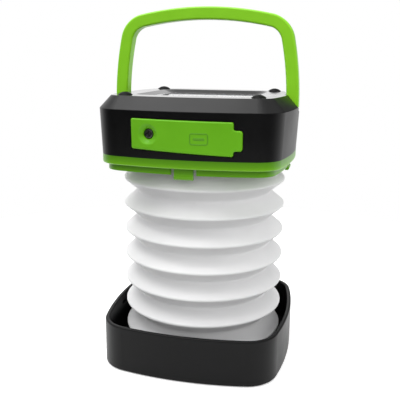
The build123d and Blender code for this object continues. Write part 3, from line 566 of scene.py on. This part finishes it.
def lathe(profile):
    """Closed ring of a closed (radius, z) profile turned about the Z axis."""
    bm = bmesh.new()
    rings = []
    for i in range(LATHE_SEGMENTS):
        angle = 2 * pi * i / LATHE_SEGMENTS
        rings.append([bm.verts.new((r * cos(angle), r * sin(angle), z)) for r, z in profile])
    count = len(profile)
    for i in range(LATHE_SEGMENTS):
        here, there = rings[i], rings[(i + 1) % LATHE_SEGMENTS]
        for j in range(count):
            k = (j + 1) % count
            bm.faces.new((here[j], there[j], there[k], here[k]))
    return bm


# ---- Bellows -----------------------------------------------------------------------------
RIDGE_PITCH = 13.58 * MM
FIRST_RIDGE = 95.4 * MM
RIDGE_COUNT = 7
RIDGE_RADIUS = 42.9 * MM
RIDGE_ROUND = 1.0 * MM
VALLEY_RADIUS = 34.6 * MM
VALLEY_ROUND = 1.4 * MM
SKIN = 1.2 * MM
COLLAR_BOTTOM = 102.2 * MM
COLLAR_RADIUS = 41.1 * MM
FOOT_RADIUS = 27.7 * MM
FLANGE = 1.0 * MM
CORNER_STEPS = 7
LATHE_SEGMENTS = 240


def bellows_outline(radius_change, bottom):
    """Points and corner radii of the folded wall from the tray up to the collar."""
    points = [(VALLEY_RADIUS + radius_change, bottom)]
    radii = [0]
    for i in reversed(range(RIDGE_COUNT)):
        z = FIRST_RIDGE - RIDGE_PITCH * i
        points.append((VALLEY_RADIUS + radius_change, z - RIDGE_PITCH / 2))
        radii.append(VALLEY_ROUND)
        points.append((RIDGE_RADIUS + radius_change, z))
        radii.append(RIDGE_ROUND)
    points.append((VALLEY_RADIUS + radius_change, COLLAR_BOTTOM))
    radii.append(0)
    return points, radii


def add_bellows(materials):
    """Folded skin on the base, and a collar that rides with the head."""
    low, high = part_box("bellows")
    outer = rounded_line(*bellows_outline(0, low.z), CORNER_STEPS)
    inner = rounded_line(*bellows_outline(-SKIN, low.z + FLANGE), CORNER_STEPS)
    profile = [(FOOT_RADIUS, low.z)] + outer + inner[::-1] + [(FOOT_RADIUS, low.z + FLANGE)]
    skin = new_piece("bellows_skin", lathe(profile), materials["silicone"], radians(60))
    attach(skin, "base")
    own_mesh(skin)
    collar_profile = [
        (VALLEY_RADIUS, COLLAR_BOTTOM),
        (VALLEY_RADIUS, high.z - FLANGE),
        (COLLAR_RADIUS, high.z - FLANGE),
        (COLLAR_RADIUS, high.z),
        (VALLEY_RADIUS - SKIN, high.z),
        (VALLEY_RADIUS - SKIN, COLLAR_BOTTOM),
    ]
    collar = new_piece("bellows_collar", lathe(collar_profile), materials["silicone"])
    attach(collar, "head")
    for piece in (skin, collar):
        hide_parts("bellows")


# ---- Solar cells -------------------------------------------------------------------------
CELL_COUNT = 10
CELL_GAP = 0.8 * MM
CELL_SINK = 0.06 * MM


def box_mesh(bm, low, high):
    """Closed box between two corners."""
    middle = (low + high) / 2
    size = high - low
    place = Matrix.Translation(middle) @ Matrix.Diagonal((*size, 1))
    bmesh.ops.create_cube(bm, size=1.0, matrix=place)


def add_solar_cells(materials):
    """Cell strips, sunk a little so that their top does not lie in the window's underside."""
    low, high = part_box("solar_cells")
    width = (high.x - low.x - CELL_GAP * (CELL_COUNT - 1)) / CELL_COUNT
    bm = bmesh.new()
    for i in range(CELL_COUNT):
        left = low.x + i * (width + CELL_GAP)
        box_mesh(bm, Vector((left, low.y, low.z)), Vector((left + width, high.y, high.z - CELL_SINK)))
    cells = new_piece("solar_cell_strips", bm, materials["solar_silicon"])
    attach(cells, "head")
    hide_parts("solar_cells")


# ---- Port cover --------------------------------------------------------------------------
HEAD_HALF = 48.0 * MM
HEAD_BOW = 159.0 * MM
CHAMFER_BOTTOM = 132.5 * MM
HEAD_DRAFT = 0.95 * MM
COVER_LEFT = -24.4 * MM
COVER_RIGHT = 23.2 * MM
COVER_LEFT_LOW = 115.0 * MM
COVER_LEFT_HIGH = 129.0 * MM
COVER_RIGHT_LOW = 113.0 * MM
COVER_RIGHT_HIGH = 128.5 * MM
COVER_CORNER = 0.9 * MM
TAB_RIGHT = 27.2 * MM
TAB_LOW = 115.5 * MM
TAB_HIGH = 124.8 * MM
TAB_CORNER = 1.3 * MM
TAB_NOTCH = 1.1 * MM
COVER_PROUD = 0.6 * MM
COVER_BACK = 1.7 * MM
COVER_EDGE = 0.7 * MM
COVER_EDGE_STEPS = 6
SCREW_X = -16.2 * MM
SCREW_Z = 122.0 * MM
SCREW_CIRCLE_POINTS = 48
SCREW_HOLE = 2.4 * MM
SCREW_DISH = (
    (5.0 * MM, 0.0),
    (4.75 * MM, 0.05 * MM),
    (4.4 * MM, 0.22 * MM),
    (3.4 * MM, 0.95 * MM),
    (2.75 * MM, 1.45 * MM),
    (2.5 * MM, 1.75 * MM),
    (SCREW_HOLE, 2.2 * MM),
)
MARK_X = 7.9 * MM
MARK_Z = 120.7 * MM


def wall_y(x, z):
    """Y of the head's drafted, bowed front wall."""
    bow = HEAD_BOW - sqrt(HEAD_BOW ** 2 - x ** 2)
    draft = HEAD_DRAFT * (CHAMFER_BOTTOM - z) / (CHAMFER_BOTTOM - HOUSING_BOTTOM)
    return -(HEAD_HALF - bow - draft)


def cover_outline(grow):
    """Closed outline of the port cover in (x, z), moved out by grow."""
    left, right = COVER_LEFT - grow, COVER_RIGHT + grow
    tab_right = TAB_RIGHT + grow
    corners = [
        ((left, (COVER_LEFT_LOW + COVER_LEFT_HIGH) / 2), 0),
        ((left, COVER_LEFT_LOW - grow), COVER_CORNER + grow),
        ((right, COVER_RIGHT_LOW - grow), COVER_CORNER + grow),
        ((right, TAB_LOW - grow), TAB_NOTCH - grow),
        ((tab_right, TAB_LOW - grow), TAB_CORNER + grow),
        ((tab_right, TAB_HIGH + grow), TAB_CORNER + grow),
        ((right, TAB_HIGH + grow), TAB_NOTCH - grow),
        ((right, COVER_RIGHT_HIGH + grow), COVER_CORNER + grow),
        ((left, COVER_LEFT_HIGH + grow), COVER_CORNER + grow),
    ]
    points = [point for point, _ in corners]
    radii = [radius for _, radius in corners]
    return rounded_line(points + points[:1], radii + [0])[:-1]


def ring_of(bm, points, y):
    """Vertices at the (x, z) points, all at one y."""
    return [bm.verts.new((x, y, z)) for x, z in points]


def bridge(bm, first, second):
    """Band of quads between two rings of the same count."""
    count = len(first)
    for i in range(count):
        j = (i + 1) % count
        bm.faces.new((first[i], first[j], second[j], second[i]))


def loft(bm, rings):
    """Walls from each ring to the next."""
    for first, second in zip(rings, rings[1:]):
        bridge(bm, first, second)


def fill_between(bm, *loops):
    """Flat triangles between an outer loop and a hole."""
    edges = []
    for loop in loops:
        for i, vert in enumerate(loop):
            other = loop[(i + 1) % len(loop)]
            edges.append(bm.edges.get((vert, other)) or bm.edges.new((vert, other)))
    bmesh.ops.triangle_fill(bm, use_beauty=True, edges=edges)


def screw_circle(radius):
    """Points of a circle about the cover screw, in (x, z)."""
    turns = [2 * pi * i / SCREW_CIRCLE_POINTS for i in range(SCREW_CIRCLE_POINTS)]
    return [(SCREW_X + radius * cos(turn), SCREW_Z + radius * sin(turn)) for turn in turns]


def slice_up(bm, axis, places):
    """Cut the whole mesh by planes across one axis, so that it can follow a curve."""
    normal = Vector((axis == 0, axis == 1, axis == 2))
    for place in places:
        parts = list(bm.verts) + list(bm.edges) + list(bm.faces)
        bmesh.ops.bisect_plane(bm, geom=parts, dist=1e-7, plane_co=normal * place, plane_no=normal)


def lay_on_wall(bm):
    """Move a shape made with y = 0 as the cover's face onto the head's curved front wall."""
    for vert in bm.verts:
        vert.co.y += wall_y(vert.co.x, vert.co.z) - COVER_PROUD


def add_port_cover(materials):
    """One rubber strip: dished screw end, long free end and finger tab.

    It is cut every millimetre across and every two up, and every quarter of one from 12 to 8 mm left of the
    middle.
    """
    bm = bmesh.new()
    thickness = COVER_PROUD + COVER_BACK
    rings = []
    for step in range(COVER_EDGE_STEPS + 1):
        angle = pi / 2 * step / COVER_EDGE_STEPS
        grow = -COVER_EDGE * (1 - sin(angle))
        rings.append(ring_of(bm, cover_outline(grow), COVER_EDGE * (1 - cos(angle))))
    rings.append(ring_of(bm, cover_outline(0), thickness))
    loft(bm, rings)
    back_hole = ring_of(bm, screw_circle(SCREW_HOLE), thickness)
    fill_between(bm, rings[-1], back_hole)
    hole = [ring_of(bm, screw_circle(radius), depth) for radius, depth in SCREW_DISH]
    fill_between(bm, rings[0], hole[0])
    loft(bm, hole + [back_hole])
    slice_up(bm, X_AXIS, [x * MM for x in range(-24, 28)])
    slice_up(bm, X_AXIS, [(-12 + 0.25 * i) * MM for i in range(17)])
    slice_up(bm, Z_AXIS, [z * MM for z in range(114, 129, 2)])
    lay_on_wall(bm)
    bmesh.ops.remove_doubles(bm, verts=bm.verts, dist=1e-6)
    cover = new_piece("port_cover_strip", bm, materials["green_rubber"], radians(35))
    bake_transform(cover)
    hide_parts("port_cover", "port_cover_anchor")


def rounded_box_outline(x, z, half_width, half_height, radius):
    """Closed outline of a round-cornered box in (x, z)."""
    corners = [
        (x - half_width, z),
        (x - half_width, z - half_height),
        (x + half_width, z - half_height),
        (x + half_width, z + half_height),
        (x - half_width, z + half_height),
        (x - half_width, z),
    ]
    return rounded_line(corners, [0, radius, radius, radius, radius, 0], steps=5)[:-1]


MARK_FRAME = (4.3 * MM, 2.7 * MM, 1.2 * MM)
MARK_BAR = (2.6 * MM, 0.6 * MM, 0.5 * MM)
MARK_STROKE = 0.5 * MM
MARK_RISE = 0.16 * MM
MARK_ROUND = 0.08 * MM
MARK_ROOT = 0.1 * MM
MARK_SLOPE = [(0, -MARK_ROOT), (0, MARK_RISE * 0.6), (MARK_ROUND, MARK_RISE)]


def mark_rings(bm, sizes, steps):
    """Rings of a raised box, given by its half width, half height and corner radius.

    Each step is an inset and a height above the cover's face.
    """
    rings = []
    for inset, rise in steps:
        outline = rounded_box_outline(MARK_X, MARK_Z, *(size - inset for size in sizes))
        rings.append(ring_of(bm, outline, -rise))
    return rings


def close_ends(bm, rings):
    """Flat faces over the first and the last ring."""
    bm.faces.new(rings[0])
    bm.faces.new(rings[-1])


def add_port_mark(materials):
    """Plain raised socket symbol on the cover: a rounded frame round a short bar."""
    bm = bmesh.new()
    inner_slope = [(MARK_STROKE - inset, rise) for inset, rise in reversed(MARK_SLOPE)]
    border = mark_rings(bm, MARK_FRAME, MARK_SLOPE + inner_slope)
    loft(bm, border + border[:1])
    bar = mark_rings(bm, MARK_BAR, MARK_SLOPE)
    loft(bm, bar)
    close_ends(bm, bar)
    slice_up(bm, X_AXIS, [(MARK_X / MM - 4 + i) * MM for i in range(9)])
    lay_on_wall(bm)
    mark = new_piece("port_cover_mark", bm, materials["green_rubber_dark"], radians(50))
    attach(mark, "port_cover")


PLUG_ROOT = -45.9
PLUG_CORNER = 0.6


def add_port_plugs(materials):
    """Blocks behind the cover that press into the two sockets; plain numbers are millimetres."""
    usb_low, usb_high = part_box("usb_output_socket")
    micro_low, micro_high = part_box("micro_input_socket")
    plugs = (
        ("usb_plug", (usb_low.x + usb_high.x) / 2, (usb_low.z + usb_high.z) / 2, 5.4, 1.9, -42.6),
        ("micro_plug", (micro_low.x + micro_high.x) / 2, (micro_low.z + micro_high.z) / 2, 2.4, 0.7, -44.3),
    )
    for name, x, z, half_width, half_height, tip in plugs:
        bm = bmesh.new()
        rings = []
        for inset, y in ((0, PLUG_ROOT), (0, tip - 0.4), (0.12, tip - 0.12), (0.4, tip)):
            sizes = [(size - inset) * MM for size in (half_width, half_height, PLUG_CORNER)]
            outline = rounded_box_outline(x, z, *sizes)
            rings.append(ring_of(bm, outline, y * MM))
        loft(bm, rings)
        close_ends(bm, rings)
        plug = new_piece(name, bm, materials["green_rubber"])
        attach(plug, "port_cover")


add_camera()
add_studio()
materials = make_materials()
finish_cad_nodes(materials)
add_bellows(materials)
add_solar_cells(materials)
add_port_cover(materials)
add_port_mark(materials)
add_port_plugs(materials)
